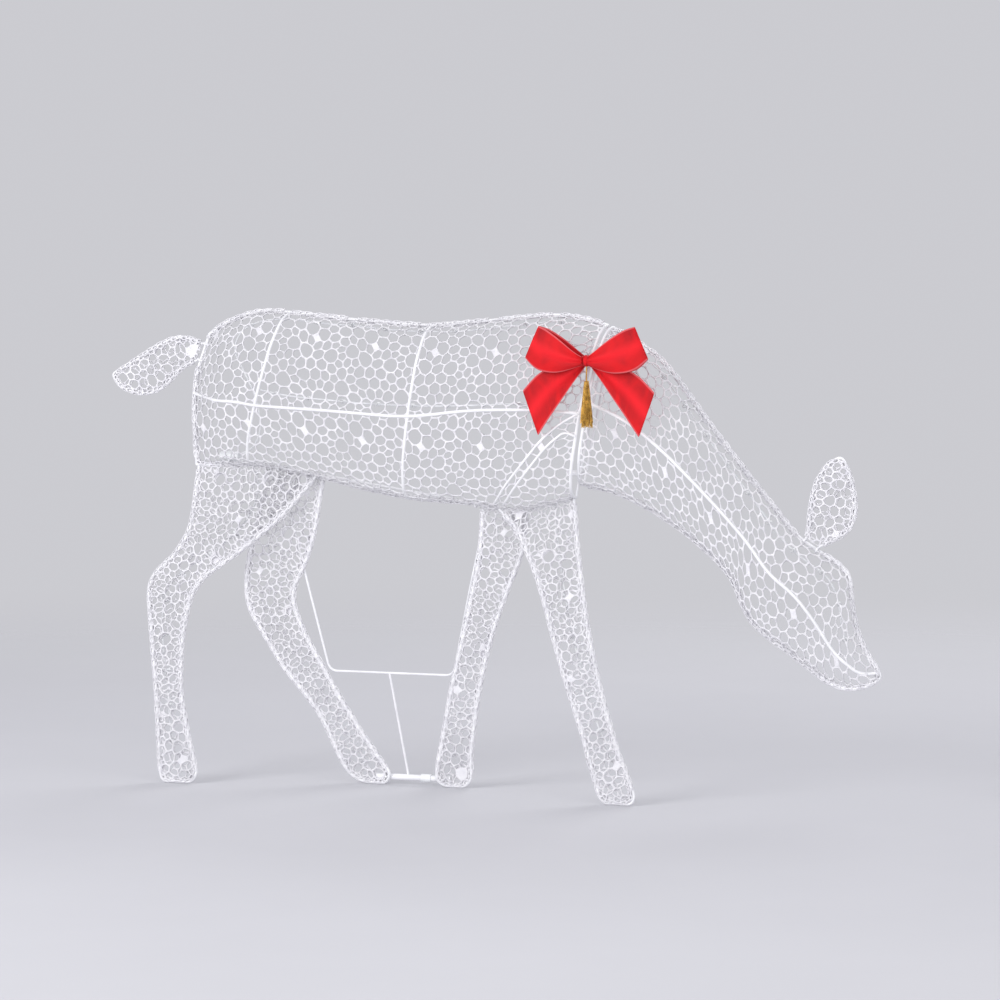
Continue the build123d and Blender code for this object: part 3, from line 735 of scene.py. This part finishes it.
def flatSize(ring, layers):
    # the mean width, length and thread area of the flat net inside an outline
    gross = abs(sum(a[0] * b[1] - b[0] * a[1] for a, b in zip(ring, ring[1:] + ring[:1]))) / 2 * layers
    length = max(math.dist(a, b) for a in ring for b in ring)
    return (gross / length, length), gross * netShare


for name, plan in reliefs.items():
    grid, loop = reliefGrid(name, plan)
    outlines[name] = loop
    along, across = unrolled(grid)
    ring = ringOf(along, across)
    flats[name] = flatSize(ring, 1)
    flat, faces, stars = fillWithCells(ring, 1.0, plan["shift"])
    points = [onGrid(u, s, grid, along, across) for u, s in flat]
    faces = [face[::-1] for face in faces]
    placeLace(name, plan["body"], knit(name + "_lace", points, faces, stars, thread["half"],
        thread["thick"], 3))


# legs, tail and ear: a sleeve of net, one layer on each side of its wire
sleeves = {
    "rear_leg_net_near": {"body": "body_frame", "wires": {"rear_leg_wire_near": wireRadius,
    "belly_wire": wireRadius}, "shift": (0.0, 0.01), "tight": 1},
    "front_leg_net_near": {"body": "body_frame", "wires": {"front_leg_wire_near": wireRadius,
    "belly_wire": wireRadius}, "shift": (0.04, 0.03), "tight": 1},
    "rear_leg_net_stand": {"body": "rear_stand", "wires": {"rear_leg_wire_stand": wireRadius,
    "stand_top_wire": lightRadius}, "shift": (0.02, 0.05), "tight": -1},
    "front_leg_net_stand": {"body": "rear_stand", "wires": {"front_leg_wire_stand": wireRadius,
    "stand_top_wire": lightRadius}, "shift": (0.01, 0.0), "tight": -1},
    "tail_net": {"body": "tail", "wires": {"tail_wire": lightRadius}, "shift": (0.0, 0.02)},
    "ear_net": {"body": "ear", "wires": {"ear_wire": lightRadius}, "shift": (0.03, 0.01)},
}
# tight is the side, +1 or -1 in y, where the sleeve lies flat so that the stand can fold past it
sleeve = {"scale": 0.86, "bulge": 0.0042, "tightBulge": 0.0002, "reach": 0.014,
    "secondShift": (0.037, 0.061), "rimStep": 0.0095}


def planeThrough(loop):
    rows = np.array([[p.x, p.z, 1.0] for p in loop])
    a, b, c = np.linalg.lstsq(rows, np.array([p.y for p in loop]), rcond=None)[0]
    return lambda x, z: float(a * x + b * z + c)


for name, plan in sleeves.items():
    loop = outlineAlong(name, plan["wires"])
    outlines[name] = loop
    rim = evenly(loop, sleeve["rimStep"], True)
    ring = [(p.x, p.z) for p in rim]
    flats[name] = flatSize(ring, 2)
    level = planeThrough(loop)
    edge = KDTree(len(rim))
    for i, p in enumerate(rim):
        edge.insert((p.x, p.z, 0), i)
    edge.balance()
    points, faces, stars = [], [], []
    for side in (-1, 1):
        bulge = sleeve["tightBulge"] if side == plan.get("tight") else sleeve["bulge"]
        shift = plan["shift"] if side < 0 else tuple(a + b for a,
            b in zip(plan["shift"], sleeve["secondShift"]))
        flat, made, starred = fillWithCells(ring, sleeve["scale"], shift)
        first = len(points)
        for x, z in flat:
            _, i, gap = edge.find((x, z, 0))
            blend = min(1.0, gap / 0.03)
            base = rim[i].y * (1 - blend) + level(x, z) * blend
            points.append(Vector((x,
                base + side * (0.0006 + bulge * (1 - math.exp(-gap / sleeve["reach"]))), z)))
        faces += [[first + k for k in (face if side > 0 else face[::-1])] for face in made]
        stars += starred
    placeLace(name, plan["body"], knit(name + "_lace", points, faces, stars, thread["half"],
        thread["thick"], 5))


# where the net's edge is folded round the outline wires
border = {"radius": 0.0047, "swell": 0.0007, "step": 0.0085, "around": 4, "halfThread": 0.00105,
    "thick": 0.0013, "clear": 0.003, "tight": 0.0028, "gap": 0.0035, "cordGap": 0.019, "floor": 0.0012,
    "seed": 21}
keepOpen = ["tail_eyes", "ear_eyes", "stand_eyes", "string_clips", "foot_tube_collar"]
openBoxes = []
for name in keepOpen:
    merged = mergedCopy(name)
    todo = set(merged.verts)
    while todo:
        stack, part = [todo.pop()], []
        while stack:
            vert = stack.pop()
            part.append(vert.co.copy())
            for link in vert.link_edges:
                other = link.other_vert(vert)
                if other in todo:
                    todo.discard(other)
                    stack.append(other)
        openBoxes.append(([min(p[k] for p in part) - border["clear"] for k in range(3)],
            [max(p[k] for p in part) + border["clear"] for k in range(3)]))
    merged.free()


def blocked(point):
    return any(all(low[k] <= point[k] <= high[k] for k in range(3)) for low, high in openBoxes)


def openRuns(loop, ok):
    # the stretches of a closed loop where ok holds
    flags = [ok(p) for p in loop]
    if all(flags):
        return [loop + loop[:1]]
    start = flags.index(False)
    runs, run = [], []
    for k in range(1, len(loop) + 1):
        i = (start + k) % len(loop)
        if flags[i]:
            run.append(loop[i])
        elif run:
            runs.append(run)
            run = []
    return [r for r in runs if len(r) > 5]


def borderMesh(name, runs, body, rnd, tight):
    points, faces = [], []
    around = border["around"]
    for run in runs:
        path = evenly(run, border["step"], False)
        for _ in range(2):
            path = [path[0]] + [(a + b * 2 + c) / 4 for a, b,
                c in zip(path, path[1:], path[2:])] + [path[-1]]
        first = len(points)
        for k, here in enumerate(path):
            ahead = (path[min(k + 1, len(path) - 1)] - path[max(k - 1, 0)]).normalized()
            out = Vector((0, 1, 0))
            side = ahead.cross(out).normalized()
            up = side.cross(ahead).normalized()
            for m in range(around):
                angle = tau * (m + 0.5 * (k % 2)) / around + rnd.uniform(-0.22, 0.22)
                radius = border["radius"] + rnd.uniform(-1, 1) * border["swell"]
                slip = ahead * rnd.uniform(-0.14, 0.14) * border["step"]
                away = (side * math.cos(angle) + up * math.sin(angle)) * radius
                if away.y * tight > border["tight"]:
                    away.y = border["tight"] * tight
                place = here + slip + away
                place.z = max(place.z, border["floor"])
                points.append(place)
        for k in range(len(path) - 1):
            for m in range(around):
                a, b = first + k * around + m, first + k * around + (m + 1) % around
                c, d = a + around, b + around
                if k % 2:
                    faces += [[a, b, d], [a, d, c]]
                else:
                    faces += [[a, b, c], [b, d, c]]
    piece = knit(name, points, faces, [0.0] * len(points), border["halfThread"], border["thick"], 9)
    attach(piece, body)
    print(name, "faces", len(piece.data.polygons))
    return piece


rnd = random.Random(border["seed"])
allPlans = {**reliefs, **sleeves}
for name, plan in allPlans.items():
    skip = [(surfaceOf(w), border["gap"]) for w in plan["wires"] if w in ("shoulder_hoop", "neck_hoop",
        "stand_top_wire")]
    if name in ("rear_leg_net_near", "front_leg_net_near"):
        skip.append((surfaceOf("belly_wire"), border["gap"]))
    if name == "rear_leg_net_stand":
        skip.append((surfaceOf("light_cords_legs"), border["cordGap"]))

    def wanted(point):
        return not blocked(point) and all(tree.find_nearest(point)[3] > gap for tree, gap in skip)

    edging = borderMesh(name.replace("_net", "") + "_border", openRuns(outlines[name], wanted),
        plan["body"], rnd, plan.get("tight", 0))


# the bow: offsets in metres from the middle of its knot, out along one side and up
knotLow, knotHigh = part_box("bow_knot")
knotMiddle = (knotLow + knotHigh) / 2
bow = {
    "loopTop": [(0.004, 0.006), (0.016, 0.014), (0.036, 0.030), (0.056, 0.043), (0.070, 0.048)],
    "loopLow": [(0.004, -0.006), (0.018, -0.011), (0.042, -0.017), (0.070, -0.013), (0.090, 0.003)],
    "tailTop": [(0.004, 0.002), (0.026, -0.002), (0.050, -0.008), (0.074, -0.020), (0.097, -0.043)],
    "tailLow": [(0.003, -0.007), (0.020, -0.029), (0.037, -0.053), (0.055, -0.078), (0.074, -0.106)],
    "loopDepth": 0.010, "ridge": 0.0055, "pleats": 0.0016, "ribbon": 0.0012, "along": 28, "across": 14,
    "ribbonWide": 0.05, "loopLength": 0.185, "tailLength": 0.125,
}


def curveAt(points, t):
    # a smooth curve through a few points, as fractions of its point count
    place = t * (len(points) - 1)
    i = min(int(place), len(points) - 2)
    f = place - i
    p = [Vector(points[min(max(i + k, 0), len(points) - 1)]) for k in (-1, 0, 1, 2)]
    slope = p[2] - p[0]
    curve = 2 * p[0] - 5 * p[1] + 4 * p[2] - p[3]
    twist = 3 * p[1] - p[0] - 3 * p[2] + p[3]
    return 0.5 * ((2 * p[1]) + slope * f + curve * f * f + twist * f ** 3)


def makeVelvet(name, points, faces, uvs, offset):
    piece = meshPiece(name, points, faces)
    layer = piece.data.uv_layers.new(name="ribbon")
    for loop in piece.data.loops:
        layer.data[loop.index].uv = uvs[loop.vertex_index]
    piece.data.materials.append(finishes["velvet"])
    thicken(piece, bow["ribbon"], offset)
    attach(piece, "body_frame")
    return piece


def ribbonPiece(name, side, topEdge, lowEdge, path, lift):
    # path gives how far out and how deep the ribbon is for each step along it
    points, faces, uvs = [], [], []
    across = bow["across"]
    steps = len(path)
    for k, (out, depth) in enumerate(path):
        top, low = curveAt(topEdge, out), curveAt(lowEdge, out)
        for m in range(across + 1):
            c = m / across
            spot = top.lerp(low, c)
            towards = lift(out, depth, c)
            points.append(knotMiddle + Vector((side * spot.x, -towards, spot.y)))
            uvs.append((k / (steps - 1) * 0.2, c * bow["ribbonWide"]))
    for k in range(steps - 1):
        for m in range(across):
            a = k * (across + 1) + m
            quad = [a, a + 1, a + across + 2, a + across + 1]
            faces.append(quad if side < 0 else quad[::-1])
    return makeVelvet(name, points, faces, uvs, 0.0)


def loopLift(out, depth, c):
    ridge = bow["ridge"] * (1 - abs(2 * c - 0.92)) * math.sin(math.pi * min(out * 0.9 + 0.05, 1.0))
    pleat = bow["pleats"] * math.cos(tau * 2.5 * c) * max(0.0, 1 - out) ** 1.3
    belly = 0.003 + bow["loopDepth"] * math.sin(math.pi * min(1.0, 0.12 + out * 0.8)) ** 0.8
    return 0.003 + depth * belly + (ridge + pleat if depth > 0 else -pleat * 0.5)


def tailLift(out, depth, c):
    fold = 0.0028 * math.sin(math.pi * (c * 1.6 + 0.1)) * math.sin(math.pi * min(1.0, out * 1.1))
    pleat = bow["pleats"] * math.cos(tau * 2.0 * c) * (1 - out) ** 1.5
    return -0.0055 + fold + pleat + 0.0035 * math.sin(math.pi * out)


loopPath = [(math.sin(math.pi * k / bow["along"]),
    math.cos(math.pi * k / bow["along"])) for k in range(bow["along"] + 1)]
tailPath = [(k / bow["along"], 0.0) for k in range(bow["along"] + 1)]
for end, side in (("rear", -1), ("front", 1)):
    for part, path, lift in (("loop", loopPath, loopLift), ("tail", tailPath, tailLift)):
        node = "bow_" + part + "_" + end
        piece = ribbonPiece(node + "_velvet", side, bow[part + "Top"], bow[part + "Low"], path, lift)
        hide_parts(node)
        flat = (bow["ribbonWide"], bow[part + "Length"])

knot = {"folds": 2.5, "slant": 1.2, "crown": 0.16, "wide": 0.0118, "deep": 0.0085, "tall": 0.0068,
    "steps": 28, "across": 12, "pleat": 0.0009, "strip": (0.016, 0.055)}


def knotBand():
    points, faces, uvs = [], [], []
    across, steps = knot["across"], knot["steps"]
    for k in range(steps):
        angle = tau * k / steps
        for m in range(across + 1):
            c = m / across
            fold = math.cos(tau * knot["folds"] * c + knot["slant"] * math.sin(angle))
            swell = 1 + knot["crown"] * math.sin(math.pi * c) + knot["pleat"] / knot["tall"] * fold
            waist = (c - 0.5) * knot["wide"] * (1 + 0.25 * math.cos(angle) ** 2)
            points.append(knotMiddle + Vector((waist, -math.cos(angle) * knot["deep"] * swell,
                math.sin(angle) * knot["tall"] * swell)))
            uvs.append((angle / tau * 0.06, c * bow["ribbonWide"]))
    for k in range(steps):
        for m in range(across):
            a, b = k * (across + 1) + m, (k + 1) % steps * (across + 1) + m
            faces.append([a, a + 1, b + 1, b])
    piece = makeVelvet("bow_knot_velvet", points, faces, uvs, -1.0)
    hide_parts("bow_knot")


knotBand()
print("bow tied")


# the tassel: a twisted thread, a bound neck and loose strands
cordLow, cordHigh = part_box("tassel_cord")
capLow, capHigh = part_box("tassel_cap")
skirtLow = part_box("tassel_skirt")[0]
tassel = {"strands": 150, "strand": 0.00042, "neck": 0.0026, "flare": 0.0082, "bind": 0.0007, "turns": 5,
          "bindTop": 0.0028, "bindLow": 0.0036, "twist": 0.00045, "yarn": 0.0005, "seed": 4}


def makeStrandTree():
    inputs = [("Place", "Vector", (0, 0, 0)), ("Strands", "Int", 90), ("Length", "Float", 0.04),
        ("Neck", "Float", 0.003),
              ("Flare", "Float", 0.008), ("Strand Radius", "Float", 0.0004), ("Shortest", "Float", 0.84),
              ("Seed", "Int", 1), ("Finish", "Material", None)]
    tree, given, result = openGroup("loose strands", "GeometryNodeTree", inputs, [("Geometry", "Geometry")])
    start = put(tree, "GeometryNodePoints", {"Count": given["Strands"]})
    turn = put(tree, "FunctionNodeRandomValue", {3: tau, 8: given["Seed"]}, data_type="FLOAT")
    away = put(tree, "FunctionNodeRandomValue", {8: calc(tree, "ADD", given["Seed"], 7.0)},
        data_type="FLOAT")
    out = calc(tree, "SQRT", away.outputs[1])
    heading = put(tree, "ShaderNodeCombineXYZ", {0: calc(tree, "COSINE", turn.outputs[1]),
        1: calc(tree, "SINE", turn.outputs[1])})
    heading = put(tree, "ShaderNodeVectorMath", {0: heading.outputs[0], 3: out}, operation="SCALE")
    kept = put(tree, "GeometryNodeStoreNamedAttribute", {"Geometry": start.outputs[0], "Name": "heading",
        "Value": heading.outputs[0]}, data_type="FLOAT_VECTOR", domain="POINT")
    down = put(tree, "ShaderNodeCombineXYZ", {2: calc(tree, "MULTIPLY", given["Length"], -1.0)})
    line = put(tree, "GeometryNodeCurvePrimitiveLine", {"Start": (0, 0, 0), "End": down.outputs[0]})
    fine = put(tree, "GeometryNodeResampleCurve", {"Curve": line.outputs[0], "Count": 9})
    other = calc(tree, "ADD", given["Seed"], 13.0)
    cut = put(tree, "FunctionNodeRandomValue", {2: given["Shortest"], 3: 1.0, 8: other}, data_type="FLOAT")
    tall = put(tree, "ShaderNodeCombineXYZ", {0: 1.0, 1: 1.0, 2: cut.outputs[1]})
    many = put(tree, "GeometryNodeInstanceOnPoints", {"Points": kept.outputs[0],
        "Instance": fine.outputs[0], "Scale": tall.outputs[0]})
    real = put(tree, "GeometryNodeRealizeInstances", {0: many.outputs[0]})
    part = put(tree, "GeometryNodeSplineParameter").outputs["Factor"]
    read = put(tree, "GeometryNodeInputNamedAttribute", {"Name": "heading"}, data_type="FLOAT_VECTOR")
    spread = calc(tree, "ADD", given["Neck"], calc(tree, "MULTIPLY", calc(tree, "SUBTRACT", given["Flare"],
        given["Neck"]), calc(tree, "POWER", part, 0.8)))
    moved = put(tree, "ShaderNodeVectorMath", {0: read.outputs[0], 3: spread}, operation="SCALE")
    where = put(tree, "GeometryNodeInputPosition").outputs[0]
    seeds = put(tree, "ShaderNodeVectorMath", {0: read.outputs[0], 1: where}, operation="ADD")
    curl = put(tree, "ShaderNodeTexNoise", {"Vector": seeds.outputs[0], "Scale": 6.0})
    curl = put(tree, "ShaderNodeVectorMath", {0: curl.outputs["Color"], 1: (0.5, 0.5, 0.5)},
        operation="SUBTRACT")
    curl = put(tree, "ShaderNodeVectorMath", {0: curl.outputs[0], 3: calc(tree, "MULTIPLY", part, 0.006)},
        operation="SCALE")
    both = put(tree, "ShaderNodeVectorMath", {0: moved.outputs[0], 1: curl.outputs[0]}, operation="ADD")
    placed = put(tree, "ShaderNodeVectorMath", {0: both.outputs[0], 1: given["Place"]}, operation="ADD")
    bent = put(tree, "GeometryNodeSetPosition", {"Geometry": real.outputs[0], "Offset": placed.outputs[0]})
    profile = put(tree, "GeometryNodeCurvePrimitiveCircle",
        {"Resolution": 5, "Radius": given["Strand Radius"]}, mode="RADIUS")
    tube = put(tree, "GeometryNodeCurveToMesh", {"Curve": bent.outputs[0],
        "Profile Curve": profile.outputs[0], "Fill Caps": True})
    soft = put(tree, "GeometryNodeSetShadeSmooth", {0: tube.outputs[0]})
    whole = put(tree, "GeometryNodeRealizeInstances", {0: soft.outputs[0]})
    last = put(tree, "GeometryNodeSetMaterial", {"Geometry": whole.outputs[0], "Material": given["Finish"]})
    tree.links.new(last.outputs[0], result["Geometry"])
    return tree


def makeCoilTree():
    inputs = [("Place", "Vector", (0, 0, 0)), ("Turns", "Float", 5.0), ("Start Radius", "Float", 0.003),
        ("End Radius", "Float", 0.003),
              ("Height", "Float", 0.01), ("Thread", "Float", 0.0007), ("Strands", "Int", 1),
              ("Finish", "Material", None)]
    tree, given, result = openGroup("bound thread", "GeometryNodeTree", inputs, [("Geometry", "Geometry")])
    coil = put(tree, "GeometryNodeCurveSpiral", {"Resolution": 14, "Rotations": given["Turns"],
        "Start Radius": given["Start Radius"],
                                                 "End Radius": given["End Radius"],
                                                 "Height": given["Height"]})
    start = put(tree, "GeometryNodePoints", {"Count": given["Strands"]})
    index = put(tree, "GeometryNodeInputIndex").outputs[0]
    angle = calc(tree, "MULTIPLY", calc(tree, "DIVIDE", index, given["Strands"]), tau)
    spin = put(tree, "ShaderNodeCombineXYZ", {2: angle})
    many = put(tree, "GeometryNodeInstanceOnPoints", {"Points": start.outputs[0],
        "Instance": coil.outputs[0], "Rotation": spin.outputs[0]})
    real = put(tree, "GeometryNodeRealizeInstances", {0: many.outputs[0]})
    moved = put(tree, "GeometryNodeSetPosition", {"Geometry": real.outputs[0], "Offset": given["Place"]})
    profile = put(tree, "GeometryNodeCurvePrimitiveCircle", {"Resolution": 8, "Radius": given["Thread"]},
        mode="RADIUS")
    tube = put(tree, "GeometryNodeCurveToMesh", {"Curve": moved.outputs[0],
        "Profile Curve": profile.outputs[0], "Fill Caps": True})
    soft = put(tree, "GeometryNodeSetShadeSmooth", {0: tube.outputs[0]})
    whole = put(tree, "GeometryNodeRealizeInstances", {0: soft.outputs[0]})
    last = put(tree, "GeometryNodeSetMaterial", {"Geometry": whole.outputs[0], "Material": given["Finish"]})
    tree.links.new(last.outputs[0], result["Geometry"])
    return tree


strandTree, coilTree = makeStrandTree(), makeCoilTree()


def grow(name, tree, values, finish):
    piece = meshPiece(name, [(0, 0, 0)], [])
    addTree(piece, tree, {**values, "Finish": finish})
    return settle(piece)


middle = (capLow + capHigh) / 2
capPlace = (middle.x, middle.y, capLow.z)
skirt = grow("tassel_strands", strandTree, {
    "Place": (middle.x, middle.y, capHigh.z), "Strands": tassel["strands"],
    "Length": capHigh.z - skirtLow.z,
    "Neck": tassel["neck"], "Flare": tassel["flare"], "Strand Radius": tassel["strand"],
    "Seed": tassel["seed"]}, finishes["gold"])
binding = grow("tassel_binding", coilTree, {
    "Place": capPlace, "Turns": float(tassel["turns"]), "Start Radius": tassel["bindLow"],
    "End Radius": tassel["bindTop"],
    "Height": capHigh.z - capLow.z, "Thread": tassel["bind"], "Strands": 1}, finishes["gold"])
cord = grow("tassel_thread", coilTree, {
    "Place": (middle.x, middle.y, cordLow.z), "Turns": 9.0, "Start Radius": tassel["twist"],
    "End Radius": tassel["twist"],
    "Height": cordHigh.z - cordLow.z, "Thread": tassel["yarn"], "Strands": 3}, finishes["gold"])
for piece, node in ((skirt, "tassel_skirt"), (binding, "tassel_cap"), (cord, "tassel_cord")):
    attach(piece, "tassel")
    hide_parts(node)
print("tassel hung")


# floor, light and camera
stage = {"floorSize": 3.6, "grey": rgb(0.56, 0.56, 0.59), "worldGrey": rgb(0.60, 0.60, 0.635),
    "worldStrength": 1.0}


def floorFinish():
    made, tree, shader, place = startFinish("pale floor", Specular_IOR_Level=0.2)
    drift = useGroup(tree, "drift", {"Vector": place, "First": stage["grey"], "Second": rgb(0.545, 0.545,
        0.575), "Size": 1.5})
    tree.links.new(drift["Colour"], shader.inputs["Base Color"])
    shader.inputs["Roughness"].default_value = 0.85
    away = put(tree, "ShaderNodeVectorMath", {0: place}, operation="LENGTH").outputs["Value"]
    fade = put(tree, "ShaderNodeMapRange", {"Value": away, "From Min": 0.9,
        "From Max": stage["floorSize"] * 0.97, "To Min": 1.0, "To Max": 0.0},
        interpolation_type="SMOOTHSTEP")
    tree.links.new(fade.outputs[0], shader.inputs["Alpha"])
    return made


steps = 96
turns = [tau * k / steps for k in range(steps)]
rimPoints = [(stage["floorSize"] * math.cos(t), stage["floorSize"] * math.sin(t), 0) for t in turns]
floor = meshPiece("floor", rimPoints, [list(range(steps))])
floor.data.materials.append(floorFinish())

world = bpy.data.worlds.new("studio")
bpy.context.scene.world = world
world.use_nodes = True
backdrop = world.node_tree.nodes["Background"]
backdrop.inputs["Color"].default_value = stage["worldGrey"]
backdrop.inputs["Strength"].default_value = stage["worldStrength"]

lamps = {
    "key": {"place": (-2.2, -3.4, 2.2), "size": 2.4, "power": 120.0},
    "fill": {"place": (3.2, -2.6, 1.2), "size": 2.2, "power": 45.0},
    "low": {"place": (1.2, -3.8, 0.5), "size": 2.6, "power": 50.0},
    "back": {"place": (0.6, 3.2, 2.8), "size": 2.6, "power": 60.0},
}
target = Vector((0.024, 0.0155, 0.4215))
for name, lamp in lamps.items():
    light = bpy.data.lights.new(name, "AREA")
    light.size = lamp["size"]
    light.energy = lamp["power"]
    holder = bpy.data.objects.new(name, light)
    holder.location = lamp["place"]
    holder.rotation_euler = (target - holder.location).to_track_quat("-Z", "Y").to_euler()
    bpy.context.scene.collection.objects.link(holder)

shot = {"azimuth": 20.0, "elevation": 4.0, "distance": 6.0, "lens": 152.1}
a, e = math.radians(shot["azimuth"]), math.radians(shot["elevation"])
back = Vector((math.sin(a) * math.cos(e), -math.cos(a) * math.cos(e), math.sin(e)))
camera = bpy.data.objects.new("camera", bpy.data.cameras.new("camera"))
camera.data.sensor_width = 36.0
camera.data.lens = shot["lens"]
camera.location = target + back * shot["distance"]
camera.rotation_mode = "QUATERNION"
camera.rotation_quaternion = (-back).to_track_quat("-Z", "Y")
bpy.context.scene.collection.objects.link(camera)
bpy.context.scene.camera = camera
bpy.context.scene.view_settings.view_transform = "Standard"
print("stage set")
